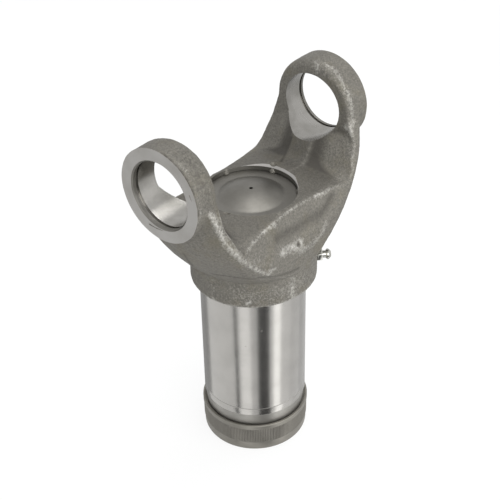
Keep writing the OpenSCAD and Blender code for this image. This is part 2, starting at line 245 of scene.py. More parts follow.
@dataclass(frozen=True)
class MachinedSteel:
    """Steel cut or ground bright: fine lines run round the axis of the cut.

    The lines lie as far apart as the tool's feed. Those of a grinding wheel are finer than a pixel, so they
    are drawn at 0.4 mm.
    """

    name: str
    colour: str
    stain: str
    roughness: float
    axis: int
    line_mm: float
    line_height: float
    anisotropy: float = 0.0
    sweep_mm: float = 50.0
    stain_mm: float = 14.0

    def build(self) -> bpy.types.Material:
        """Makes the material.

        Returns:
            The finished material.
        """
        material, tree = blank(self.name)
        place = add(tree, "TexCoord").outputs["Object"]
        stretch = [1 / (self.sweep_mm * MM)] * 3
        stretch[self.axis] = 1 / (self.line_mm * MM)
        along = add(tree, "Mapping", {"Vector": place, "Scale": stretch}).outputs["Vector"]
        lines = add(
            tree, "TexNoise", {"Vector": along, "Scale": 1.0, "Detail": 3.0, "Roughness": 0.6}
        ).outputs["Fac"]
        cloud = add(
            tree, "TexNoise", {"Vector": place, "Scale": 1 / (self.stain_mm * MM), "Detail": 3.0}
        ).outputs["Fac"]
        tone = add(tree, "MapRange", {"Value": cloud, "From Min": 0.4, "From Max": 0.7}).outputs["Result"]
        colour = add(
            tree, "Mix", {"Factor": tone, 6: linear(self.colour), 7: linear(self.stain)}, data_type="RGBA"
        ).outputs[2]
        rough = add(
            tree,
            "MapRange",
            {
                "Value": lines,
                "From Min": 0.3,
                "From Max": 0.7,
                "To Min": self.roughness * (1 - SWING),
                "To Max": self.roughness * (1 + SWING),
            },
        ).outputs["Result"]
        bump = add(
            tree, "Bump", {"Height": lines, "Strength": 0.5, "Distance": self.line_height * MM}
        ).outputs["Normal"]
        tangent = add(tree, "Tangent", direction_type="RADIAL", axis="XYZ"[self.axis]).outputs[0]
        shader = add(
            tree,
            "BsdfPrincipled",
            {
                "Base Color": colour,
                "Metallic": 1.0,
                "Roughness": rough,
                "Normal": bump,
                "Anisotropic": self.anisotropy,
                "Tangent": tangent,
            },
        )
        add(tree, "OutputMaterial", {"Surface": shader.outputs[0]})
        return material


@dataclass(frozen=True)
class PlainFinish:
    """A finish with a soft mottle and a fine grain: pressed sheet, plating, wire or cork."""

    name: str
    light: str
    dark: str
    roughness: float
    metallic: float = 1.0
    mottle_mm: float = 6.0
    grain_mm: float = 0.6
    grain_height: float = 0.02

    def build(self) -> bpy.types.Material:
        """Makes the material.

        Returns:
            The finished material.
        """
        material, tree = blank(self.name)
        place = add(tree, "TexCoord").outputs["Object"]
        mottle = add(
            tree,
            "TexNoise",
            {"Vector": place, "Scale": 1 / (self.mottle_mm * MM), "Detail": 4.0, "Roughness": 0.6},
        ).outputs["Fac"]
        grain = add(
            tree, "TexNoise", {"Vector": place, "Scale": 1 / (self.grain_mm * MM), "Detail": 2.0}
        ).outputs["Fac"]
        tone = add(
            tree, "MapRange", {"Value": mottle, "From Min": 0.35, "From Max": 0.65}
        ).outputs["Result"]
        colour = add(
            tree, "Mix", {"Factor": tone, 6: linear(self.light), 7: linear(self.dark)}, data_type="RGBA"
        ).outputs[2]
        rough = add(
            tree,
            "MapRange",
            {
                "Value": mottle,
                "From Min": 0.3,
                "From Max": 0.7,
                "To Min": self.roughness * (1 - SWING),
                "To Max": self.roughness * (1 + SWING),
            },
        ).outputs["Result"]
        bump = add(
            tree, "Bump", {"Height": grain, "Strength": 0.5, "Distance": self.grain_height * MM}
        ).outputs["Normal"]
        shader = add(
            tree,
            "BsdfPrincipled",
            {"Base Color": colour, "Metallic": self.metallic, "Roughness": rough, "Normal": bump},
        )
        add(tree, "OutputMaterial", {"Surface": shader.outputs[0]})
        return material


@dataclass(frozen=True)
class KnurledSteel:
    """Plain turned steel, with shade painted dark into the grooves between its knurls.

    The groove attribute is 1 at the bottom of a groove.
    """

    name: str = "plain_turned_and_knurled_steel"
    light: str = "#827f78"
    dark: str = "#7b7871"
    # Painted shade in the knurls' grooves
    groove_shade: str = "#5f5c56"
    roughness: float = 0.5
    metallic: float = 0.7
    mottle_mm: float = 7.0
    line_mm: float = 0.3
    line_height: float = 0.02
    sweep_mm: float = 100 / 3

    def build(self) -> bpy.types.Material:
        """Makes the material.

        Returns:
            The finished material.
        """
        material, tree = blank(self.name)
        place = add(tree, "TexCoord").outputs["Object"]
        cloud = add(
            tree, "TexNoise", {"Vector": place, "Scale": 1 / (self.mottle_mm * MM), "Detail": 4.0}
        ).outputs["Fac"]
        sweep = 1 / (self.sweep_mm * MM)
        along = add(
            tree, "Mapping", {"Vector": place, "Scale": (sweep, sweep, 1 / (self.line_mm * MM))}
        ).outputs["Vector"]
        lines = add(tree, "TexNoise", {"Vector": along, "Scale": 1.0, "Detail": 3.0}).outputs["Fac"]
        tone = add(tree, "MapRange", {"Value": cloud, "From Min": 0.35, "From Max": 0.65}).outputs["Result"]
        steel = add(
            tree, "Mix", {"Factor": tone, 6: linear(self.light), 7: linear(self.dark)}, data_type="RGBA"
        ).outputs[2]
        # Painted shade: the grooves' bottoms take the dark groove colour
        groove = add(tree, "Attribute", attribute_name="groove").outputs["Fac"]
        colour = add(
            tree, "Mix", {"Factor": groove, 6: steel, 7: linear(self.groove_shade)}, data_type="RGBA"
        ).outputs[2]
        bump = add(
            tree, "Bump", {"Height": lines, "Strength": 0.4, "Distance": self.line_height * MM}
        ).outputs["Normal"]
        shader = add(
            tree,
            "BsdfPrincipled",
            {"Base Color": colour, "Metallic": self.metallic, "Roughness": self.roughness, "Normal": bump},
        )
        add(tree, "OutputMaterial", {"Surface": shader.outputs[0]})
        return material


Finish = ForgedSkin | MachinedSteel | PlainFinish | KnurledSteel

# Shot-blasted forging: the grit scatters the light, so it looks dull and even
SKIN = ForgedSkin()
# Milled ear faces: cutter lines give a grey satin sheen
MILLED = MachinedSteel("milled_steel_face", "#a5a3a0", "#9b9995", 0.5, axis=0, line_mm=0.3, line_height=0.03)
# Bored plug seat and the bores' lips: coarse lines, with a dark colour that is painted shade
# for the seat's wall and for the dark groove line at each bore's mouth
SHADED_SEAT = MachinedSteel("bored_plug_seat_painted_shade", "#7b7974", "#6b6964", 0.5, axis=2, line_mm=0.3, line_height=0.03)
# Fine-bored cross bores: smooth enough for streaks of light along the bore
BORED = MachinedSteel("fine_bored_steel", "#9d9b97", "#878580", 0.24, 0, 0.25, 0.02, anisotropy=0.5)
# Ground sleeve: close to a mirror, so it shows its surroundings as upright stripes
GROUND = MachinedSteel("ground_steel_sleeve", "#b0aeaa", "#a9a7a3", 0.2, 2, 0.4, 0.003, anisotropy=0.5)
# Turned thread end and splines: left from the lathe, so their light is soft and grey
TURNED = MachinedSteel("turned_steel_thread", "#a3a19c", "#96948f", 0.5, 2, 0.3, 0.02, anisotropy=0.2)
# Pressed sheet: rolled smooth and dull, with one broad highlight
PRESSED = PlainFinish("pressed_sheet_steel", "#74726d", "#696762", 0.42, mottle_mm=16.0)
# Zinc plating: pale and bright
PLATED = PlainFinish("bright_zinc_plating", "#bfbeb8", "#a9a8a2", 0.2)
# Turned and knurled cap: plain dull steel, with shade painted between the knurls
CAP = KnurledSteel()
# Polished bearing steel: sharp reflections
BALL = PlainFinish("polished_bearing_steel", "#cfcfcd", "#c3c3c1", 0.1)
# Drawn wire: smooth with a soft shine
WIRE = PlainFinish("drawn_spring_wire", "#a9a8a4", "#94938f", 0.3)
# Stamped washer: dull grey
WASHER = PlainFinish("plain_washer_steel", "#a19f9a", "#8f8d88", 0.4)
# Pressed cork: matt brown grains of about 2 mm
CORK = PlainFinish("pressed_cork", "#a4804f", "#7b5b34", 0.9, 0.0, 1.8, 0.7, grain_height=0.15)


# Mesh helpers, all in millimetres


def to_object(name: str, bm: bmesh.types.BMesh) -> bpy.types.Object:
    """Turns a bmesh into an object of the scene and frees it.

    Args:
        name: The object's name.
        bm: The mesh, which is used up.

    Returns:
        The new object.
    """
    mesh = bpy.data.meshes.new(name)
    bm.to_mesh(mesh)
    bm.free()
    made = bpy.data.objects.new(name, mesh)
    bpy.context.scene.collection.objects.link(made)
    return made


def to_bmesh(made: bpy.types.Object) -> bmesh.types.BMesh:
    """Turns a scratch object back into a bmesh and removes it.

    Args:
        made: The object, which is used up.

    Returns:
        Its mesh.
    """
    bm = bmesh.new()
    bm.from_mesh(made.data)
    bpy.data.objects.remove(made)
    return bm


def lathe(profile: Profile, steps: int) -> bmesh.types.BMesh:
    """Spins a closed profile about Z.

    Args:
        profile: Pairs of radius and height, in order round the section.
        steps: Number of steps in the full turn.

    Returns:
        A closed mesh with its faces outwards.
    """
    bm = bmesh.new()
    ring = [bm.verts.new((r, 0, z)) for r, z in profile]
    edges = [bm.edges.new((a, b)) for a, b in zip(ring, ring[1:] + ring[:1])]
    bmesh.ops.spin(
        bm, geom=ring + edges, cent=(0, 0, 0), axis=(0, 0, 1), angle=math.tau, steps=steps, use_merge=True
    )
    bmesh.ops.remove_doubles(bm, verts=bm.verts, dist=1e-5)
    lone = [e for e in bm.edges if not e.link_faces]
    bmesh.ops.delete(bm, geom=lone, context="EDGES")
    bmesh.ops.recalc_face_normals(bm, faces=bm.faces)
    return bm


def drawn_out(face: bmesh.types.BMFace, bm: bmesh.types.BMesh, way: Point) -> None:
    """Draws a face out into a closed solid with its faces outwards.

    Args:
        face: The face.
        bm: Its mesh.
        way: How far and which way it is drawn out.
    """
    grown = bmesh.ops.extrude_face_region(bm, geom=[face])
    top = [v for v in grown["geom"] if isinstance(v, bmesh.types.BMVert)]
    bmesh.ops.translate(bm, verts=top, vec=way)
    bmesh.ops.recalc_face_normals(bm, faces=bm.faces)


def prism(outline: Profile, length: float, place: Matrix) -> bmesh.types.BMesh:
    """Draws an outline of the XZ plane out along +Y.

    Args:
        outline: The outline's corners in order.
        length: How far it is drawn out.
        place: Where the prism goes.

    Returns:
        A closed mesh with its faces outwards.
    """
    bm = bmesh.new()
    drawn_out(bm.faces.new([bm.verts.new((x, 0, z)) for x, z in outline]), bm, (0, length, 0))
    bmesh.ops.transform(bm, matrix=place, verts=bm.verts)
    return bm


def block_below(top: float) -> bmesh.types.BMesh:
    """Makes a block that takes away all that lies below a height.

    Args:
        top: The height of its upper face.

    Returns:
        The block.
    """
    size = 200
    bm = bmesh.new()
    bmesh.ops.create_cube(bm, size=size, matrix=Matrix.Translation((0, 0, top - size / 2)))
    return bm


def carve(body: bpy.types.Object, tool: bmesh.types.BMesh, how: Cut = Cut.REMOVE, finish: int = 0) -> None:
    """Applies one solid to another.

    Args:
        body: The piece that is changed.
        tool: The solid that changes it, which is used up.
        how: What the tool does.
        finish: The material slot that the cut faces get.
    """
    for face in tool.faces:
        face.material_index = finish
    cutter = to_object("cutter", tool)
    for material in body.data.materials:
        cutter.data.materials.append(material)
    change = body.modifiers.new("carve", "BOOLEAN")
    change.object = cutter
    change.operation = how.value
    change.solver = "MANIFOLD"
    settle(body)
    bpy.data.objects.remove(cutter)


def settle(body: bpy.types.Object) -> None:
    """Applies a piece's modifiers to its mesh.

    Args:
        body: The piece.
    """
    depsgraph = bpy.context.evaluated_depsgraph_get()
    shown = body.evaluated_get(depsgraph)
    mesh = bpy.data.meshes.new_from_object(shown, preserve_all_data_layers=True, depsgraph=depsgraph)
    body.modifiers.clear()
    old, body.data = body.data, mesh
    bpy.data.meshes.remove(old)


def sideways(way: int) -> Matrix:
    """Lays what was spun about Z along the axis of the cross bores.

    Args:
        way: 1 for +X, -1 for -X.

    Returns:
        The matrix that does it.
    """
    return Matrix.Translation((0, 0, AT.bore)) @ Matrix.Rotation(math.radians(90 * way), 4, "Y")


def grain(points: np.ndarray, size: float, shift: Point, falloff: float, octaves: int) -> np.ndarray:
    """Reads a cloudy noise at each point.

    Args:
        points: Places in mm, one to a row.
        size: The size of its clouds in mm.
        shift: Where the noise starts, so that two of them differ.
        falloff: How fast its finer octaves fade.
        octaves: How many octaves it has.

    Returns:
        One value for each point, about zero.
    """
    return np.array([noise.fractal(Vector(p) / size + Vector(shift), falloff, 2.0, octaves) for p in points])


@dataclass(frozen=True)
class Scratch:
    """A fine round-bottomed scratch or nick in a finished surface, in mm."""

    start: Point
    end: Point
    radius: float

    def cut(self, body: bpy.types.Object, finish: int = 0) -> None:
        """Cuts the scratch.

        Args:
            body: The piece that is scratched.
            finish: The material slot of the scratch's surface.
        """
        a, b = Vector(self.start), Vector(self.end)
        turn = (b - a).to_track_quat("Z", "Y").to_matrix().to_4x4()
        tool = bmesh.new()
        bmesh.ops.create_cone(
            tool,
            cap_ends=True,
            segments=12,
            radius1=self.radius,
            radius2=self.radius * 0.4,
            depth=(b - a).length,
            matrix=Matrix.Translation((a + b) / 2) @ turn,
        )
        carve(body, tool, finish=finish)


def dress(piece: bpy.types.Object, *finishes: Finish) -> None:
    """Gives a piece its finishes.

    Args:
        piece: The piece.
        finishes: One finish for each of its material slots.
    """
    piece.data.materials.clear()
    for finish in finishes:
        piece.data.materials.append(finish.build())


def hand_over(piece: bpy.types.Object, body: str, replaced: str, sharp_deg: float = 35) -> None:
    """Scales a finished piece to metres, shades it, and fixes it to its CAD body.

    Args:
        piece: The finished piece.
        body: The CAD body that it moves with.
        replaced: The CAD node that it stands for.
        sharp_deg: Edges sharper than this stay sharp.
    """
    piece.data.transform(Matrix.Scale(MM, 4))
    piece.data.shade_smooth()
    piece.data.set_sharp_from_angle(angle=math.radians(sharp_deg))
    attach(piece, body)
    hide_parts(replaced)
    report(piece)


def report(piece: bpy.types.Object) -> None:
    """Logs a piece's name and its number of triangles."""
    log.info("%s: %d triangles", piece.name, sum(len(p.vertices) - 2 for p in piece.data.polygons))


# The forging

# Size in mm of the stretches where a broken mark is left out
BREAK_MM = 1.6


@dataclass(frozen=True)
class Stroke:
    """A mark along a line on the skin, in mm: raised or pressed in, rubbed bright or painted dark as shade.

    The height is negative where the mark is pressed in, and the tone is negative where it is dark. The
    share that is broken up is left out in short stretches.
    """

    path: tuple[Point, ...]
    width: float
    height: float = 0.0
    tone: float = 0.0
    broken: float = 0.0

    def reach(self, points: np.ndarray) -> np.ndarray:
        """Says how strongly each point feels the mark, from 0 to 1.

        Args:
            points: Places in mm, one to a row.

        Returns:
            One value for each point.
        """
        gap = np.full(len(points), np.inf)
        for start, end in zip(self.path, self.path[1:] or self.path):
            a, b = np.array(start), np.array(end)
            along = b - a
            share = np.clip((points - a) @ along / max(along @ along, 1e-9), 0, 1)
            gap = np.minimum(gap, np.linalg.norm(points - a - share[:, None] * along, axis=1))
        felt = np.exp(-((gap / self.width) ** 2))
        if self.broken:
            near = np.flatnonzero(felt > 0.02)
            cloud = grain(points[near], BREAK_MM, (3, 8, 1), 0.7, 2)
            felt[near] *= 1 - self.broken * np.clip(0.5 - cloud * 1.4, 0, 1)
        return felt


# Marks of the die, the blast and handling on the forging, and shade painted into its creases and recesses
FORGING_MARKS: tuple[Stroke, ...] = (
    # Worn ridge down the outer side of the arm at -X
    Stroke(
        (
            (-64.9, -27.5, 201.6), (-62.1, -29.4, 196.4), (-60.1, -31.4, 188.7), (-59.0, -32.3, 182.8),
            (-56.8, -33.3, 178.2), (-51.5, -34.8, 170.1), (-46.6, -35.6, 163.8), (-40.3, -36.5, 157.6),
            (-34.0, -36.9, 151.3), (-28.6, -37.4, 147.8),
        ),
        width=1.8, height=0.15, tone=0.42, broken=0.6,
    ),
    # Rim of the saddle
    Stroke(
        (
            (-34.5, -31.3, 171.4), (-20.5, -30.9, 171.0), (-10.5, -29.7, 172.3), (5.5, -29.8, 171.9),
            (27.5, -30.3, 172.0), (44.4, -29.7, 172.0), (49.7, -30.4, 175.9), (53.5, -30.6, 183.0),
            (56.0, -28.5, 189.8), (56.2, -26.3, 194.1),
        ),
        width=2.2, height=0.1, tone=0.22, broken=0.7,
    ),
    Stroke(
        (
            (-63.5, -27.8, 201.9), (-58.5, -28.6, 197.2), (-50.0, -27.5, 188.0), (-42.0, -29.0, 178.0),
            (-35.9, -31.1, 171.4),
        ),
        width=2.0, tone=0.35, broken=0.7,
    ),
    Stroke(
        (
            (-27.7, -30.5, 172.8), (-22.7, -30.5, 172.0), (-16.3, -30.5, 170.6),
        ),
        width=2.0, tone=0.45, broken=0.7,
    ),
    Stroke(
        (
            (21.2, -30.5, 171.1), (28.2, -30.5, 170.0), (35.3, -30.5, 169.6),
        ),
        width=1.8, tone=0.45, broken=0.7,
    ),
    # Speckled band between them
    Stroke(
        (
            (-59.5, -30.5, 193.0), (-52.0, -31.5, 178.0), (-42.0, -33.5, 166.0), (-28.0, -35.0, 156.0),
        ),
        width=5.0, tone=0.25, broken=0.8,
    ),
    # Swelling over the collar, with a crease above it that is painted dark as shade
    Stroke(
        (
            (-15.9, -33.0, 163.5), (-2.4, -33.4, 160.9), (12.6, -33.6, 161.1), (23.4, -34.6, 160.3),
            (32.9, -33.9, 166.3),
        ),
        width=3.2, height=-0.9, tone=-0.5,
    ),
    Stroke(((0.3, -35.5, 154.5), (11.4, -35.5, 155.4)), width=6.0, height=0.7, tone=0.12),
    Stroke(
        (
            (23.4, -36.2, 155.6), (20.4, -37.2, 152.2), (15.2, -37.5, 148.8), (7.7, -37.7, 147.4),
            (-1.7, -37.5, 148.0),
        ),
        width=2.4, height=0.1, tone=0.32,
    ),
    Stroke(
        (
            (-15.4, -35.9, 155.0), (-10.9, -35.9, 154.2), (-6.6, -36.0, 153.3), (-1.2, -36.0, 153.1),
        ),
        width=3.0, height=0.1, tone=0.85, broken=0.5,
    ),
    # A nick, pressed in and painted dark as shade
    Stroke(((-2.4, -36.0, 153.4), (-1.8, -36.0, 152.4)), width=1.0, height=-0.5, tone=-1.6),
    # Edges of the flat band inside the arm at +X: a crease painted dark as shade, and a rubbed edge
    Stroke(((46.2, 7.6, 184.8), (42.0, 8.2, 177.5), (34.0, 5.6, 175.0)), width=0.9, height=-0.15, tone=-0.7),
    Stroke(
        (
            (46.7, -6.6, 186.1), (43.3, -6.5, 179.6), (38.9, -7.1, 175.7), (33.8, -6.3, 175.1),
            (28.5, -5.5, 175.1),
        ),
        width=1.0, tone=0.6, broken=0.6,
    ),
    # Crease under the boss at +X, painted dark as shade, and rubbed places round it
    Stroke(
        (
            (54.6, -14.1, 193.3), (54.6, -19.5, 194.4), (54.6, -25.9, 194.9), (54.6, -28.1, 192.7),
        ),
        width=1.5, height=-0.8, tone=-0.6,
    ),
    Stroke(((56.0, -24.8, 198.4), (56.0, -24.3, 199.2)), width=1.6, tone=0.6),
    Stroke(
        (
            (59.6, -6.1, 231.8), (60.4, -10.2, 230.7), (60.3, -14.2, 228.5), (59.6, -17.2, 226.3),
            (58.9, -21.8, 221.1), (59.2, -24.0, 217.5), (59.0, -25.9, 212.5), (59.3, -26.7, 207.0),
            (59.8, -27.3, 202.0),
        ),
        width=1.9, tone=0.38, broken=0.6,
    ),
    Stroke(((58.1, -27.4, 200.3), (56.2, -27.0, 194.4)), width=2.2, tone=0.45, broken=0.5),
    Stroke(((58.3, -0.7, 232.1), (56.5, -2.9, 230.7), (55.4, -3.4, 227.0)), width=1.5, tone=0.5, broken=0.5),
    # Streaks and the burred edge of the boss at -X
    Stroke(
        (
            (-71.3, -12.9, 229.5), (-69.4, -17.2, 226.8), (-70.0, -19.6, 224.5),
        ),
        width=1.7, tone=0.5, broken=0.6,
    ),
    Stroke(
        (
            (-71.8, -25.5, 215.2), (-71.4, -26.9, 210.2), (-69.8, -27.2, 205.0), (-72.2, -26.7, 200.5),
        ),
        width=1.7, tone=0.5, broken=0.6,
    ),
    # The burred edge: a groove painted dark as the burr's shadow
    Stroke(
        (
            (-72.4, -4.1, 232.4), (-72.4, -10.1, 230.8), (-72.4, -15.8, 227.6), (-72.4, -20.6, 223.2),
            (-72.4, -23.9, 218.3), (-72.4, -26.3, 211.5), (-72.4, -27.0, 204.0),
        ),
        width=1.0, height=-0.25, tone=-1.1, broken=0.6,
    ),
    # A broad broken patch of painted shade on the boss's upper front side
    Stroke(
        (
            (-64.0, -11.5, 230.0), (-64.0, -19.0, 225.0), (-64.0, -24.4, 217.5), (-64.0, -26.8, 209.0),
        ),
        width=6.0, tone=-0.5, broken=0.9,
    ),
    # Parting line, painted dark as the shadow of its flash, a pit painted dark as shade, and scratches
    Stroke(((-60.5, -3.5, 164.1), (-53.0, -1.7, 151.6)), width=0.9, tone=-0.7),
    Stroke(((-46.9, -34.6, 171.2), (-46.3, -34.6, 170.6)), width=1.0, height=-0.5, tone=-0.9),
    Stroke(((-28.5, -37.4, 150.4), (-23.5, -37.5, 149.0)), width=1.0, tone=0.45),
    # Crease over the collar, painted dark as the shadow under the body's overhang, and streaks on it
    Stroke(
        (
            (-48.3, -12.6, 147.8), (-47.0, -21.4, 149.8), (-41.5, -28.9, 148.6), (-33.9, -34.6, 147.2),
            (-24.0, -37.5, 143.7), (-12.5, -37.9, 139.6), (-3.4, -37.9, 138.1),
        ),
        width=1.0, height=-0.35, tone=-0.6,
    ),
    Stroke(
        (
            (-34.0, -17.0, 126.0), (-22.0, -31.0, 126.0), (0.0, -38.0, 126.0), (22.0, -31.0, 126.0),
            (32.0, -20.0, 126.0),
        ),
        width=9.0, tone=0.2,
    ),
    Stroke(((-37.1, -2.2, 133.0), (-37.1, -2.2, 118.6)), width=1.8, tone=0.45, broken=0.8),
    Stroke(((-7.6, -36.5, 132.7), (-7.6, -36.5, 119.1)), width=1.8, tone=0.45, broken=0.8),
    Stroke(((-30.3, -21.5, 120.4), (-29.3, -23.0, 121.9)), width=0.9, tone=0.55),
)


@dataclass
class ForgedYoke:
    """The forging: ears, saddle and collar, with its machined bores, faces and plug seat.

    Stock and core are the metal that fills its bores until they are machined. The tools between the ears
    reach out as far as wide and as high as top. Lumps and grit roughen the skin, and the tones say how
    bright its edges are rubbed and how much shade is painted into its creases and the saddle's inner sides.
    """

    node: bpy.types.Object
    rough_voxel: float = 0.8
    voxel: float = 0.75
    rounding: int = 4
    boss_r: float = 27.2
    bore_r: float = 19.5
    bore_start: float = 30.0
    stock_r: float = 22.0
    stock_start: float = 44.0
    boss_start: float = 62.0
    stock_end: float = 76.0
    core_r: float = 30.0
    core_ends: tuple[float, float] = (100.0, 178.0)
    face_x: float = 72.7
    groove_depth: float = 1.4
    groove_w: float = 1.7
    lip_w: float = 2.6
    mouth_chamfer: float = 0.8
    ear_start: float = 40.0
    inner_x: float = 55.25
    ear_draft: float = 2.0
    saddle_half: float = 35.5
    corner_r: float = 9.0
    corner_flats: int = 8
    arm_lean: float = 26.0
    shoulder_z: float = 193.8
    shoulder_h: float = 4.4
    band_half: float = 6.5
    hollow_turn: float = 14.6
    hollow_fall: float = 9.5
    wide: float = 60.0
    top: float = 250.0
    seat_r: float = 26.9
    seat_chamfer: float = 1.2
    sleeve_seat_r: float = 26.0
    stakes: int = 6
    stake_angle: float = 13.0
    stake_r: float = 2.2
    stake_at: float = 27.8
    lump_mm: float = 7.0
    lump_h: float = 0.12
    grit_mm: float = 1.9
    grit_h: float = 0.07
    # Tones: edges brighten as rubbed wear, and creases darken as painted shade
    edge_wear_and_crease_shade: float = 4.0
    crease_shade: float = -0.35
    edge_tone: float = 0.6
    # Painted shade on the saddle's inner sides: its strength, and its share on the flat band and the floor
    inside_shade_tone: float = 0.85
    inside_shade_band: float = 0.45
    inside_shade_floor: float = 0.4
    strokes: tuple[Stroke, ...] = FORGING_MARKS
    face_scratches: tuple[Scratch, ...] = (
        Scratch((-72.75, 9.0, 184.8), (-72.75, 3.8, 184.2), 0.45),
        Scratch((-72.75, 3.9, 184.3), (-72.75, -1.3, 184.7), 0.35),
        Scratch((-72.75, -22.0, 215.0), (-72.75, -23.4, 212.0), 0.3),
    )

    def floor_points(self, from_x: float) -> Profile:
        """Draws the saddle's floor and its round corner.

        Args:
            from_x: Where the floor starts.

        Returns:
            The points from the floor's start up to the arm.
        """
        flats = self.corner_flats
        turns = [math.radians((90 - self.arm_lean) * i / flats) for i in range(1, flats + 1)]
        corner = [
            (self.saddle_half + self.corner_r * math.sin(a), AT.floor + self.corner_r * (1 - math.cos(a)))
            for a in turns
        ]
        return [(from_x, AT.floor), (self.saddle_half, AT.floor), *corner]

    def lean_x(self, z: float | np.ndarray) -> float | np.ndarray:
        """Says how far from the middle the arm's inner side lies.

        Args:
            z: The height.

        Returns:
            The side's X at that height.
        """
        lean = math.radians(self.arm_lean)
        foot = AT.floor + self.corner_r * (1 - math.sin(lean))
        return self.saddle_half + self.corner_r * math.cos(lean) + (z - foot) * math.tan(lean)

    def saddle_tool(self) -> bmesh.types.BMesh:
        """Makes the space between the ears, which opens the filled bores again along the forged faces.

        Returns:
            The space as a closed solid.
        """
        wide, top = self.wide, self.top
        draft = self.inner_x + wide * math.tan(math.radians(self.ear_draft))
        foot = self.lean_x(self.shoulder_z)
        slope = self.shoulder_h / (self.inner_x - foot)
        shoulder = self.shoulder_z + slope * (draft - foot)
        main = [*self.floor_points(-1), (foot, self.shoulder_z), (draft, shoulder), (draft, top), (-1, top)]
        space = to_object("space", prism(main, 2 * wide, Matrix.Translation((0, -wide, 0))))
        pivot = Vector((self.saddle_half + self.corner_r, self.band_half, AT.floor))
        hollow = [*self.floor_points(-wide), (self.lean_x(2 * top), 2 * top), (-wide, 2 * top)]
        for end in (1, -1):
            place = (
                Matrix.Diagonal((1, end, 1, 1))
                @ Matrix.Translation(pivot)
                @ Matrix.Rotation(math.radians(-self.hollow_turn), 4, "Z")
                @ Matrix.Rotation(math.radians(-self.hollow_fall), 4, "X")
                @ Matrix.Translation(-pivot)
            )
            tool = prism(hollow, 2 * wide, place)
            bmesh.ops.recalc_face_normals(tool, faces=tool.faces)
            carve(space, tool, Cut.JOIN)
        limit = bmesh.new()
        outline = [(-1, -wide), (draft, -wide), (self.inner_x, 0), (draft, wide), (-1, wide)]
        face = limit.faces.new([limit.verts.new((x, y, AT.collar)) for x, y in outline])
        drawn_out(face, limit, (0, 0, top))
        carve(space, limit, Cut.KEEP)
        bm = to_bmesh(space)
        half = bm.copy()
        bmesh.ops.transform(half, matrix=Matrix.Diagonal((-1, 1, 1, 1)), verts=half.verts)
        bmesh.ops.reverse_faces(half, faces=half.faces)
        whole = to_object("whole", bm)
        carve(whole, half, Cut.JOIN)
        return to_bmesh(whole)

    def filled(self) -> bpy.types.Object:
        """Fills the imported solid's bores, so that it is as it comes from the forging die.

        Returns:
            The solid, with loose cylinders where its bores were.
        """
        bm = bmesh.new()
        bm.from_mesh(self.node.data)
        bmesh.ops.scale(bm, vec=(1 / MM,) * 3, verts=bm.verts)
        bmesh.ops.remove_doubles(bm, verts=bm.verts, dist=1e-3)
        low, high = self.core_ends
        stocks = [
            (sideways(way), start, self.stock_end, radius, 128)
            for way in (1, -1)
            for start, radius in ((self.stock_start, self.stock_r), (self.boss_start, self.boss_r))
        ]
        for place, start, end, radius, segments in [*stocks, (Matrix(), low, high, self.core_r, 96)]:
            bmesh.ops.create_cone(
                bm,
                cap_ends=True,
                segments=segments,
                radius1=radius,
                radius2=radius,
                depth=end - start,
                matrix=place @ Matrix.Translation((0, 0, (start + end) / 2)),
            )
        return to_object("forged_yoke", bm)

    def remesh(self, body: bpy.types.Object, size: float) -> None:
        """Rebuilds the skin in even squares.

        Args:
            body: The forging.
            size: The squares' size.
        """
        skin = body.modifiers.new("skin", "REMESH")
        skin.mode = "VOXEL"
        skin.voxel_size = size
        settle(body)

    def inside_shade(self, points: np.ndarray, normal: np.ndarray) -> np.ndarray:
        """Says where shade is painted on the saddle's inner sides, from 0 to 1.

        The sides get all of it beside the flat band, the band itself and the floor less, and each limit is
        soft.

        Args:
            points: Places in mm, one to a row.
            normal: The skin's direction at each of them.

        Returns:
            One value for each point.
        """
        band = self.inside_shade_band
        aside = band + (1 - band) * np.clip((np.abs(points[:, 1]) - self.band_half) / 3, 0, 1)
        side = np.clip(-normal[:, 0] * np.sign(points[:, 0]) * 3, 0, 1) * aside
        floor = np.clip((normal[:, 2] - 0.88) * 12, 0, 1) * self.inside_shade_floor
        low = np.clip((points[:, 2] - AT.plug_top) / 1.5, 0, 1)
        high = np.clip((self.shoulder_z + 6 - points[:, 2]) / 5, 0, 1)
        near = np.clip((self.lean_x(points[:, 2]) + 4 - np.abs(points[:, 0])) / 2, 0, 1)
        return np.maximum(side, floor) * low * high * near

    def swelling(self, mesh: bpy.types.Mesh, points: np.ndarray, normal: np.ndarray) -> np.ndarray:
        """Measures how far each point stands out from its neighbours, evened out along the skin.

        Args:
            mesh: The skin.
            points: Its points in mm, one to a row.
            normal: The skin's direction at each of them.

        Returns:
            One value for each point, below zero in a crease.
        """
        pairs = np.empty(len(mesh.edges) * 2, np.int32)
        mesh.edges.foreach_get("vertices", pairs)
        pairs = pairs.reshape(-1, 2)
        ways = ((0, 1), (1, 0))
        around, uses = np.zeros((len(points), 3)), np.zeros(len(points))
        for one, other in ways:
            np.add.at(around, pairs[:, one], points[pairs[:, other]])
            np.add.at(uses, pairs[:, one], 1)
        uses = np.maximum(uses, 1)
        swell = -np.einsum("ij,ij->i", around / uses[:, None] - points, normal) / self.voxel
        for _ in range(4):
            total = np.zeros(len(points))
            for one, other in ways:
                np.add.at(total, pairs[:, one], swell[pairs[:, other]])
            swell = 0.5 * swell + 0.5 * total / uses
        return swell

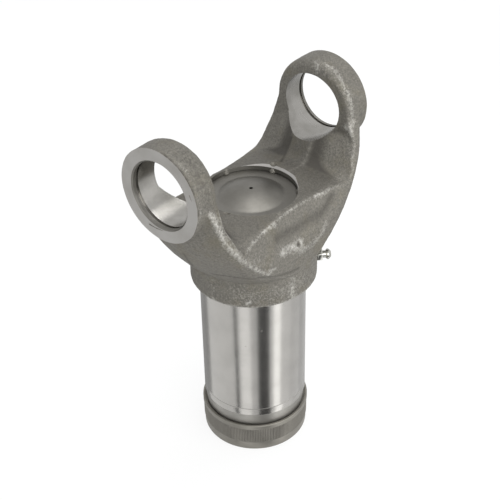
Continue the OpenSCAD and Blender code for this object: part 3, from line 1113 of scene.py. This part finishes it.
    def weather(self, body: bpy.types.Object) -> None:
        """Roughens the skin, marks what was rubbed bright and paints shade into creases and the inner sides.

        Args:
            body: The forging.
        """
        mesh = body.data
        count = len(mesh.vertices)
        flat = np.empty(count * 3, np.float32)
        mesh.vertices.foreach_get("co", flat)
        points = flat.reshape(-1, 3).astype(float)
        mesh.vertices.foreach_get("normal", flat)
        normal = flat.reshape(-1, 3).astype(float)
        height = self.lump_h * grain(points, self.lump_mm, (0, 0, 0), 0.9, 3)
        height += self.grit_h * grain(points, self.grit_mm, (9, 4, 7), 0.8, 2)
        swell = self.swelling(mesh, points, normal)
        # Rubbed edges brighten, and creases darken as painted shade
        wear_and_shade = np.clip(swell * self.edge_wear_and_crease_shade - 0.1, self.crease_shade, self.edge_tone)
        # More painted shade on the saddle's inner sides
        wear_and_shade -= self.inside_shade_tone * self.inside_shade(points, normal)
        for stroke in self.strokes:
            felt = stroke.reach(points)
            height += stroke.height * felt
            wear_and_shade += stroke.tone * felt
        points += normal * height[:, None]
        low, high = (np.array(corner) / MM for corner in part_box("yoke"))
        points[:, 1:] = np.clip(points[:, 1:], low[1:] + 0.02, high[1:] - 0.02)
        mesh.vertices.foreach_set("co", points.astype(np.float32).ravel())
        mesh.update()
        layer = mesh.attributes.new("wear_and_shade", "FLOAT", "POINT")
        layer.data.foreach_set("value", np.clip(wear_and_shade, -1, 1).astype(np.float32))

    def stake(self, body: bpy.types.Object, turn: float) -> None:
        """Presses one stake over the plug's rim and leaves the punch's notch in the seat's chamfer.

        Args:
            body: The forging.
            turn: The stake's direction in degrees.
        """
        spin = Matrix.Rotation(math.radians(turn), 4, "Z")
        r, drop = self.stake_r, AT.floor - AT.plug_top
        punch = lathe([(0, 0), (0.6 * r, 0.2), (r, 1.2), (r + 0.5, 3.0), (0, 3.0)], 24)
        crown = [(0.7 * r, drop - 2.0), (0.4 * r, drop - 1.5), (0, drop - 1.4)]
        lump = lathe([(0, 0.05), (r, 0.05), (r, 0.5), *crown], 24)
        for tool, at, z, how in (
            (punch, self.stake_at + 1.3, AT.floor - 1.2, Cut.REMOVE),
            (lump, self.stake_at, AT.plug_top, Cut.JOIN),
        ):
            bmesh.ops.transform(tool, matrix=spin @ Matrix.Translation((at, 0, z)), verts=tool.verts)
            carve(body, tool, how)

    def ear_tool(self, way: int) -> bmesh.types.BMesh:
        """Makes the tool for the bore, ring groove, mouth chamfer and milled outer face of one ear.

        Args:
            way: 1 for the ear at +X, -1 for the one at -X.

        Returns:
            The tool.
        """
        r, face = self.bore_r, self.face_x
        groove = face - self.lip_w - self.groove_w
        past_r, past_face = 50, 95
        profile = [
            (0, self.bore_start),
            (r, self.bore_start),
            (r, groove),
            (r + self.groove_depth, groove),
            (r + self.groove_depth, groove + self.groove_w),
            (r, groove + self.groove_w),
            (r, face - self.mouth_chamfer),
            (r + self.mouth_chamfer, face),
            (past_r, face),
            (past_r, past_face),
            (0, past_face),
        ]
        bm = lathe(profile, 144)
        bmesh.ops.transform(bm, matrix=sideways(way), verts=bm.verts)
        return bm

    def seat_tool(self) -> bmesh.types.BMesh:
        """Makes the tool for the plug's seat with its chamfer, and the bore that the sleeve's wall fills.

        Returns:
            The tool.
        """
        r, grow, start, past = self.seat_r, self.seat_chamfer, self.core_ends[0], 190
        profile = [
            (0, start),
            (self.sleeve_seat_r, start),
            (self.sleeve_seat_r, AT.seat),
            (r, AT.seat),
            (r, AT.floor - grow),
            (r + 2 * grow, AT.floor + grow),
            (r + 2 * grow, past),
            (0, past),
        ]
        return lathe(profile, 144)

    def finish_faces(self, body: bpy.types.Object) -> None:
        """Sorts the machined faces: chamfers are milled, bores fine-bored, and their lips take the seat's
        painted shade.

        Args:
            body: The forging.
        """
        milled, bored, seat = 1, 2, 3
        for face in body.data.polygons:
            if face.material_index == seat and 0.5 < face.normal.z < 0.9:
                face.material_index = milled
            out = abs(face.center.x)
            if face.material_index == milled and self.ear_start < out < self.face_x - 0.01:
                face.material_index = bored if out < self.face_x - self.lip_w else seat

    def build(self) -> bpy.types.Object:
        """Makes the forging and machines it.

        Returns:
            The finished forging.
        """
        body = self.filled()
        self.remesh(body, self.rough_voxel)
        carve(body, self.saddle_tool())
        carve(body, block_below(AT.collar - 3))
        self.remesh(body, self.voxel)
        smooth = body.modifiers.new("rounding", "SMOOTH")
        smooth.iterations = self.rounding
        settle(body)
        self.weather(body)
        dress(body, SKIN, MILLED, BORED, SHADED_SEAT)
        for way in (1, -1):
            carve(body, self.ear_tool(way), finish=1)
        carve(body, self.seat_tool(), finish=3)
        for i in range(self.stakes):
            self.stake(body, self.stake_angle + 360 * i / self.stakes)
        for mark in self.face_scratches:
            mark.cut(body)
        carve(body, block_below(AT.collar), finish=1)
        self.finish_faces(body)
        hand_over(body, "forging", "yoke")
        return body


@dataclass
class SplinedSleeve:
    """The ground sleeve below the collar, with its threaded end and splined bore."""

    sleeve_r: float = 32.0
    thread_r: float = 31.0
    thread_l: float = 20.0
    thread_chamfer: float = 0.8
    chamfer: float = 0.6
    inside_r: float = 28.0
    major_r: float = 25.0
    minor_r: float = 21.8
    splines: int = 16
    groove_share: float = 0.46
    side_angle: float = 12.0
    entry_l: float = 6.0
    entry_clear: float = 0.4
    relief_l: float = 9.0
    line_z: float = 33.9
    line_half: float = 0.3
    line_depth: float = 0.05
    scratches: tuple[Scratch, ...] = (
        Scratch((-21.2, -24.0, 95.3), (-20.5, -24.6, 96.3), 0.35),
        Scratch((-27.35, -16.6, 84.7), (-26.9, -17.35, 84.0), 0.35),
    )

    def broach(self) -> bmesh.types.BMesh:
        """Makes the splined bore's own shape, from below the sleeve to the plug's seat.

        Returns:
            The broach.
        """
        half = math.pi * self.major_r / self.splines * self.groove_share
        tip = half - (self.major_r - self.minor_r) * math.tan(math.radians(self.side_angle))
        corners = ((self.minor_r, -tip), (self.major_r, -half), (self.major_r, half), (self.minor_r, tip))
        outline = []
        for i in range(self.splines):
            for radius, across in corners:
                turn = math.tau * i / self.splines + math.asin(across / radius)
                outline.append((radius * math.cos(turn), radius * math.sin(turn)))
        return prism(outline, AT.seat + 10, Matrix.Rotation(math.radians(90), 4, "X"))

    def widen(self, sleeve: bpy.types.Object, radius: float, low: float, high: float) -> None:
        """Bores part of the sleeve wider than its splines.

        Args:
            sleeve: The sleeve.
            radius: The bore's radius.
            low: The height where it starts.
            high: The height where it ends.
        """
        carve(sleeve, lathe([(0, low), (radius, low), (radius, high), (0, high)], 192), finish=1)

    def build(self) -> bpy.types.Object:
        """Makes the sleeve.

        Returns:
            The finished sleeve.
        """
        r, thread, inside = self.sleeve_r, self.thread_r, self.inside_r
        top = AT.seat - 0.05
        step = AT.sleeve + self.thread_l
        outside = [
            (0, AT.sleeve),
            (thread - self.thread_chamfer, AT.sleeve),
            (thread, AT.sleeve + self.thread_chamfer),
            (thread, step),
            (r - self.chamfer, step),
            (r, step + self.chamfer),
            (r, self.line_z - self.line_half),
            (r - self.line_depth, self.line_z),
            (r, self.line_z + self.line_half),
            (r, AT.collar),
            (inside, AT.collar),
            (inside, top),
            (0, top),
        ]
        sleeve = to_object("splined_sleeve", lathe(outside, 256))
        dress(sleeve, GROUND, TURNED)
        carve(sleeve, self.broach(), finish=1)
        self.widen(sleeve, self.major_r + self.entry_clear, 0, AT.sleeve + self.entry_l)
        self.widen(sleeve, self.major_r, AT.seat - self.relief_l, AT.seat + 20)
        for face in sleeve.data.polygons:
            turned = face.center.z < step + 0.1 or abs(face.center.z - self.line_z) < self.line_half
            if turned and math.hypot(face.center.x, face.center.y) > self.thread_r - 0.5:
                face.material_index = 1
        for mark in self.scratches:
            mark.cut(sleeve, finish=1)
        hand_over(sleeve, "forging", "yoke")
        return sleeve


# Plug, fitting and cap


@dataclass
class CorePlug:
    """The pressed plug in the saddle floor: a flat rim, a shallow dome and a vent hole."""

    rim_r: float = 26.87
    rim_edge: float = 0.5
    dome_r: float = 19.4
    dome_h: float = 4.2
    dome_steps: int = 14
    sheet: float = 2.5
    vent_r: float = 1.1

    def build(self) -> bpy.types.Object:
        """Makes the plug.

        Returns:
            The finished plug.
        """
        ball_r = (self.dome_r**2 + self.dome_h**2) / (2 * self.dome_h)
        centre = AT.plug_top + self.dome_h - ball_r
        steps = self.dome_steps
        radii = [self.vent_r + (self.dome_r - self.vent_r) * i / steps for i in range(steps + 1)]
        upper = [(r, centre + math.sqrt(ball_r**2 - r * r)) for r in radii]
        lower = [(r, z - self.sheet) for r, z in upper]
        profile = [
            *upper,
            (self.dome_r + 0.8, AT.plug_top),
            (self.rim_r - self.rim_edge, AT.plug_top),
            (self.rim_r, AT.plug_top - self.rim_edge),
            (self.rim_r, AT.seat + 0.3),
            (self.rim_r - 0.3, AT.seat),
            *reversed(lower),
        ]
        plug = to_object("plug", lathe(profile, 128))
        dress(plug, PRESSED)
        hand_over(plug, "forging", "core_plug")
        return plug


@dataclass
class GreaseFitting:
    """The grease fitting: a hexagon, a neck and a head with a mouth that a ball shuts."""

    angle: float = -45.0
    reach: float = 38.5
    height: float = 125.9
    hex_af: float = 7.0
    hex_l: float = 3.2
    hex_edge: float = 0.25
    tip: float = 8.4
    shank_r: float = 2.98
    shank_l: float = 5.5
    shank_chamfer: float = 0.4
    neck_r: float = 2.3
    neck_start: float = 0.5
    head_r: float = 3.25
    mouth_r: float = 1.1
    rim_r: float = 1.8
    barrel_l: float = 0.8
    chamber_r: float = 1.45
    ball_at: float = 6.8
    chamber_end: float = 1.35
    passage_r: float = 0.8
    nut_bore_r: float = 2.0

    def place(self) -> Matrix:
        """Says where the fitting's axis lies.

        Returns:
            The matrix that puts its seat at zero and its mouth along +Z.
        """
        return (
            Matrix.Rotation(math.radians(self.angle), 4, "Z")
            @ Matrix.Translation((self.reach, 0, self.height))
            @ Matrix.Rotation(math.radians(90), 4, "Y")
        )

    def nut(self) -> bmesh.types.BMesh:
        """Makes the hexagon, with a bore for the body.

        Returns:
            The hexagon.
        """
        corner_r = self.hex_af / 2 / math.cos(math.radians(30))
        bm = bmesh.new()
        bmesh.ops.create_cone(
            bm,
            cap_ends=True,
            segments=6,
            radius1=corner_r,
            radius2=corner_r,
            depth=self.hex_l,
            matrix=Matrix.Translation((0, 0, self.hex_l / 2)) @ Matrix.Rotation(math.radians(30), 4, "Z"),
        )
        bmesh.ops.bevel(
            bm, geom=bm.edges[:], offset=self.hex_edge, segments=2, affect="EDGES", profile=0.5, material=-1
        )
        nut = to_object("nut", bm)
        carve(nut, lathe([(0, -5), (self.nut_bore_r, -5), (self.nut_bore_r, 12), (0, 12)], 64))
        return to_bmesh(nut)

    def build(self) -> bpy.types.Object:
        """Makes the fitting.

        Returns:
            The finished fitting.
        """
        wide = self.tip - (self.head_r - self.rim_r)
        neck_top = wide - self.barrel_l - (self.head_r - self.neck_r)
        turns = [math.radians(degrees) for degrees in (40, 25, 10)]
        roof = [(self.chamber_r * math.cos(a), self.ball_at + self.chamber_r * math.sin(a)) for a in turns]
        profile = [
            (self.passage_r, -self.shank_l),
            (self.shank_r - self.shank_chamfer, -self.shank_l),
            (self.shank_r, self.shank_chamfer - self.shank_l),
            (self.shank_r, self.neck_start),
            (self.neck_r, self.neck_start),
            (self.neck_r, neck_top),
            (self.head_r, wide - self.barrel_l),
            (self.head_r, wide),
            (self.rim_r, self.tip),
            (self.mouth_r, self.tip),
            (self.mouth_r, roof[0][1]),
            *roof,
            (self.chamber_r, self.ball_at),
            (self.chamber_r, self.chamber_end),
            (self.passage_r, self.chamber_end),
        ]
        body = to_object("fitting", lathe(profile, 64))
        carve(body, self.nut(), Cut.JOIN)
        body.data.transform(self.place())
        dress(body, PLATED)
        hand_over(body, "forging", "grease_fitting")
        return body


@dataclass
class DustCap:
    """The knurled cap that holds the seal at the sleeve's end.

    The real cap has finer knurls. They wouldn't show, so there are only 200.
    """

    lip_r: float = 33.5
    height: float = 20.7
    floor: float = 2.0
    hole_r: float = 25.6
    hole_chamfer: float = 0.2
    band_h: float = 3.0
    knurl_h: float = 11.4
    step: float = 0.3
    knurls: int = 200
    depth: float = 0.25
    base_step: float = 0.2
    edge_r: float = 1.5
    edge_flats: int = 6
    chamfer: float = 0.3
    pocket_r: float = 30.35
    pocket_h: float = 4.5
    bore_r: float = 31.05
    gap_r: float = 31.95
    gap_depth: float = 1.4
    gap_chamfer: float = 0.2
    nicks: tuple[Scratch, ...] = (
        Scratch((-23.1, -24.6, 20.1), (-22.6, -25.0, 20.7), 0.4),
        Scratch((-19.3, -27.6, 20.0), (-18.8, -27.9, 20.7), 0.4),
    )

    def section(self, crest: float, low: float, band: float) -> Profile:
        """Draws the cap's section.

        Args:
            crest: The radius over the knurls.
            low: The height where the knurls start.
            band: The height where they end and the lip's band starts.

        Returns:
            The section's points in order.
        """
        base = crest - self.depth - self.base_step
        bend = [
            (base - self.edge_r * (1 - math.sin(a)), self.edge_r * (1 - math.cos(a)))
            for a in (math.radians(90 * i / self.edge_flats) for i in range(self.edge_flats + 1))
        ]
        return [
            (self.hole_r, self.hole_chamfer),
            (self.hole_r + self.hole_chamfer, 0),
            *bend,
            (base, low - 0.2),
            (crest - self.step, low + 0.1),
            (crest, low + 0.5),
            (crest, band - 0.4),
            (crest - self.step, band - 0.1),
            (crest - self.step, band),
            (self.lip_r - 0.1, band),
            (self.lip_r, band + 0.15),
            (self.lip_r, self.height - self.chamfer),
            (self.lip_r - self.chamfer, self.height),
            (self.gap_r + self.gap_chamfer, self.height),
            (self.gap_r, self.height - self.gap_chamfer),
            (self.gap_r, self.height - self.gap_depth),
            (self.bore_r, self.height - self.gap_depth),
            (self.bore_r, self.floor + self.pocket_h),
            (self.pocket_r, self.floor + self.pocket_h),
            (self.pocket_r, self.floor),
            (self.hole_r, self.floor),
        ]

    def build(self) -> bpy.types.Object:
        """Makes the cap, then presses every other ridge of the knurled band inwards.

        Returns:
            The finished cap.
        """
        crest = self.lip_r - self.step
        band = self.height - self.band_h
        low = band - self.knurl_h
        bm = lathe(self.section(crest, low, band), 2 * self.knurls)
        groove = bm.verts.layers.float.new("groove")
        for vert in bm.verts:
            radius = math.hypot(vert.co.x, vert.co.y)
            if abs(radius - crest) < 1e-3 and low < vert.co.z < band:
                turn = round(math.atan2(vert.co.y, vert.co.x) / math.tau * 2 * self.knurls)
                if turn % 2:
                    vert.co.xy *= (radius - self.depth) / radius
                    # Painted shade for the groove's bottom
                    vert[groove] = 1.0
        cap = to_object("cap", bm)
        dress(cap, CAP)
        for mark in self.nicks:
            mark.cut(cap)
        hand_over(cap, "forging", "dust_cap", sharp_deg=25)
        return cap


@dataclass
class CheckValve:
    """The ball that shuts the fitting's mouth, and the coil that presses it there."""

    ball: bpy.types.Object
    fitting: GreaseFitting
    coil_r: float = 1.225
    wire_r: float = 0.175
    wire_sides: int = 8
    turns: int = 6
    turn_steps: int = 24
    low: float = 1.575
    high: float = 5.9
    travel: float = 1.0

    def build(self) -> None:
        """Dresses the ball and makes the coil."""
        dress(self.ball, BALL)
        report(self.ball)
        start = Matrix.Translation((self.coil_r, 0, self.low)) @ Matrix.Rotation(math.radians(90), 4, "X")
        bm = bmesh.new()
        ring = bmesh.ops.create_circle(
            bm,
            segments=self.wire_sides,
            radius=self.wire_r,
            matrix=start,
        )["verts"]
        steps = self.turn_steps * self.turns
        bmesh.ops.spin(
            bm,
            geom=ring + list({e for v in ring for e in v.link_edges}),
            cent=(0, 0, 0),
            axis=(0, 0, 1),
            dvec=(0, 0, (self.high - self.low) / steps),
            angle=math.tau * self.turns,
            steps=steps,
        )
        bmesh.ops.holes_fill(bm, edges=bm.edges, sides=self.wire_sides)
        bmesh.ops.recalc_face_normals(bm, faces=bm.faces)
        place = self.fitting.place()
        bmesh.ops.transform(bm, matrix=place, verts=bm.verts)
        coil = to_object("coil", bm)
        dress(coil, WIRE)
        hand_over(coil, "forging", "check_spring")
        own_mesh(coil)


@dataclass
class ShaftSeal:
    """The rings in the cap's pocket: a steel washer and the cork that seals round the shaft."""

    washer: bpy.types.Object
    cork: bpy.types.Object

    def build(self) -> None:
        """Dresses both rings."""
        for piece, finish in ((self.washer, WASHER), (self.cork, CORK)):
            dress(piece, finish)
            report(piece)


# Studio


@dataclass(frozen=True)
class Card:
    """A glowing card on the floor: where it stands seen from the yoke, how wide and how bright it is.

    The azimuth of its middle is in degrees from where the camera stands, positive to the right. A
    strength of 1 is white.
    """

    name: str
    azimuth: float
    spread: float
    strength: float


@dataclass(frozen=True)
class Lamp:
    """A soft square lamp that faces the yoke.

    Its azimuth is in degrees from where the camera stands, positive to the right, its elevation in degrees
    above the floor, its distance and size in metres and its power in watts.
    """

    name: str
    azimuth: float
    elevation: float
    power: float
    distance: float = 1.3
    size: float = 0.8


@dataclass
class Studio:
    """A pale floor, cards, soft lamps and the camera."""

    azimuth: float = -48.896
    elevation: float = 35.191
    roll: float = -1.219
    distance: float = 679.2
    target: Point = (-0.9, 1.0, 132.0)
    focal_px: float = 1147.72
    frame_px: int = 500
    sensor_mm: float = 36.0
    floor_size: float = 8.0
    floor_white: float = 0.85
    surround: float = 1.2
    mirror_r: float = 32.0
    card_height: float = 0.5
    card_reach: tuple[float, float] = (0.02, 3.0)
    cards: tuple[Card, ...] = (
        Card("left_card", -151.0, 64.0, 0.4),
        Card("thin_card", -41.0, 8.0, 0.1),
        Card("light_card", -20.0, 24.0, 1.45),
        Card("grey_card", 0.0, 16.0, 0.85),
        Card("dark_card", 21.5, 27.0, 0.09),
        Card("bright_card", 53.0, 17.0, 2.1),
        Card("right_card", 75.0, 27.0, 1.05),
        Card("side_card", 104.0, 31.0, 0.88),
        Card("edge_card", 149.5, 60.0, 0.68),
    )
    lamps: tuple[Lamp, ...] = (
        Lamp("key", 20.0, 22.0, 7.5),
        Lamp("side", 60.0, 22.0, 6.5),
        Lamp("top", 140.0, 75.0, 6.5),
    )

    def axes(self) -> tuple[Vector, Vector, Vector]:
        """Works out which way the camera is turned.

        Returns:
            The camera's right, up and back directions.
        """
        a, e, r = (math.radians(x) for x in (self.azimuth, self.elevation, self.roll))
        back = Vector((math.sin(a) * math.cos(e), -math.cos(a) * math.cos(e), math.sin(e)))
        level = Vector((math.cos(a), math.sin(a), 0))
        rise = back.cross(level)
        return (
            math.cos(r) * level + math.sin(r) * rise,
            -math.sin(r) * level + math.cos(r) * rise,
            back,
        )

    def camera(self) -> None:
        """Sets the camera where the photograph was taken from."""
        right, up, back = self.axes()
        spot = (Vector(self.target) + back * self.distance) * MM
        data = bpy.data.cameras.new("camera")
        data.sensor_width = self.sensor_mm
        data.lens = self.focal_px * self.sensor_mm / self.frame_px
        data.clip_start, data.clip_end = 0.01, 50
        made = bpy.data.objects.new("camera", data)
        bpy.context.scene.collection.objects.link(made)
        made.matrix_world = Matrix(
            (
                (right.x, up.x, back.x, spot.x),
                (right.y, up.y, back.y, spot.y),
                (right.z, up.z, back.z, spot.z),
                (0, 0, 0, 1),
            )
        )
        bpy.context.scene.camera = made

    def seen(self, tree: bpy.types.NodeTree) -> bpy.types.NodeSocket:
        """Tells rays that show a surface, straight or through metal or glass, from those that light it.

        Args:
            tree: The node tree.

        Returns:
            A socket that is 1 for rays that show the surface.
        """
        path = add(tree, "LightPath")
        shown = path.outputs["Is Camera Ray"]
        for other in ("Is Glossy Ray", "Is Transmission Ray"):
            shown = add(tree, "Math", {0: shown, 1: path.outputs[other]}, operation="MAXIMUM").outputs[0]
        return shown

    def floor(self) -> None:
        """Lays a pale floor that shows white to the camera but keeps a soft shadow."""
        bm = bmesh.new()
        bmesh.ops.create_grid(bm, x_segments=1, y_segments=1, size=self.floor_size)
        made = to_object("floor", bm)
        material, tree = blank("pale_painted_floor")
        share = add(tree, "Math", {0: self.seen(tree), 1: self.floor_white}, operation="MULTIPLY").outputs[0]
        paint = add(tree, "BsdfDiffuse", {"Color": linear("#f4f4f2")}).outputs[0]
        white = add(tree, "Emission", {"Color": (1, 1, 1, 1), "Strength": 1.0}).outputs[0]
        surface = add(tree, "MixShader", {0: share, 1: paint, 2: white}).outputs[0]
        add(tree, "OutputMaterial", {"Surface": surface})
        made.data.materials.append(material)

    def world(self) -> None:
        """Makes an even soft surround that is white to the camera."""
        world = bpy.data.worlds.new("surround")
        bpy.context.scene.world = world
        world.use_nodes = True
        tree = world.node_tree
        tree.nodes.clear()
        soft = add(tree, "Background", {"Color": linear("#d9dbdd"), "Strength": self.surround}).outputs[0]
        white = add(tree, "Background", {"Color": (1, 1, 1, 1), "Strength": 1.0}).outputs[0]
        surface = add(tree, "MixShader", {0: self.seen(tree), 1: soft, 2: white}).outputs[0]
        add(tree, "OutputWorld", {"Surface": surface})

    def lay(self, card: Card) -> None:
        """Lays a card on the floor beside the yoke, which only shows in polished metal.

        The ground sleeve mirrors it as an upright stripe, since its sides meet where a round mirror of the
        sleeve's radius has its focus.

        Args:
            card: The card.
        """
        middle, half = (
            math.radians(self.azimuth + turn - 90) for turn in (card.azimuth, card.azimuth / 2)
        )
        depth = self.mirror_r / 2 * math.cos(math.radians(card.azimuth / 2))
        focus = MM * Vector(
            (
                self.mirror_r * math.cos(half) - depth * math.cos(middle),
                self.mirror_r * math.sin(half) - depth * math.sin(middle),
                self.card_height,
            )
        )
        spread = math.radians(card.spread)
        start = middle - spread / 2
        way = Vector((math.cos(start), math.sin(start), 0))
        bm = bmesh.new()
        ends = [bm.verts.new(focus + way * reach) for reach in self.card_reach]
        line = bm.edges.new(ends)
        bmesh.ops.spin(bm, geom=[*ends, line], cent=focus, axis=(0, 0, 1), angle=spread, steps=6)
        made = to_object(card.name, bm)
        material, tree = blank(card.name)
        glow = add(tree, "Emission", {"Color": (1, 1, 1, 1), "Strength": card.strength}).outputs[0]
        add(tree, "OutputMaterial", {"Surface": glow})
        made.data.materials.append(material)
        made.visible_camera = made.visible_diffuse = made.visible_shadow = made.visible_transmission = False

    def hang(self, lamp: Lamp) -> None:
        """Hangs a lamp.

        Args:
            lamp: The lamp.
        """
        a, e = math.radians(self.azimuth + lamp.azimuth), math.radians(lamp.elevation)
        way = Vector((math.sin(a) * math.cos(e), -math.cos(a) * math.cos(e), math.sin(e)))
        data = bpy.data.lights.new(lamp.name, "AREA")
        data.shape = "RECTANGLE"
        data.size = data.size_y = lamp.size
        data.energy = lamp.power
        made = bpy.data.objects.new(lamp.name, data)
        made.location = Vector(self.target) * MM + way * lamp.distance
        made.rotation_mode = "QUATERNION"
        made.rotation_quaternion = (-way).to_track_quat("-Z", "Y")
        bpy.context.scene.collection.objects.link(made)

    def build(self) -> None:
        """Sets up camera, floor, surround, cards and lamps."""
        self.camera()
        self.floor()
        self.world()
        for card in self.cards:
            self.lay(card)
        for lamp in self.lamps:
            self.hang(lamp)
        bpy.context.scene.view_settings.view_transform = "Standard"


def main() -> None:
    """Builds every sub-assembly in order."""
    logging.basicConfig(level=logging.INFO, format="%(message)s")
    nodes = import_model()["nodes"]
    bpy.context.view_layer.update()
    Studio().build()
    ForgedYoke(nodes["yoke"]).build()
    SplinedSleeve().build()
    CorePlug().build()
    fitting = GreaseFitting()
    fitting.build()
    CheckValve(nodes["check_ball"], fitting).build()
    DustCap().build()
    ShaftSeal(nodes["seal_washer"], nodes["cork_seal"]).build()
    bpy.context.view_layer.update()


if __name__ == "__main__":
    main()
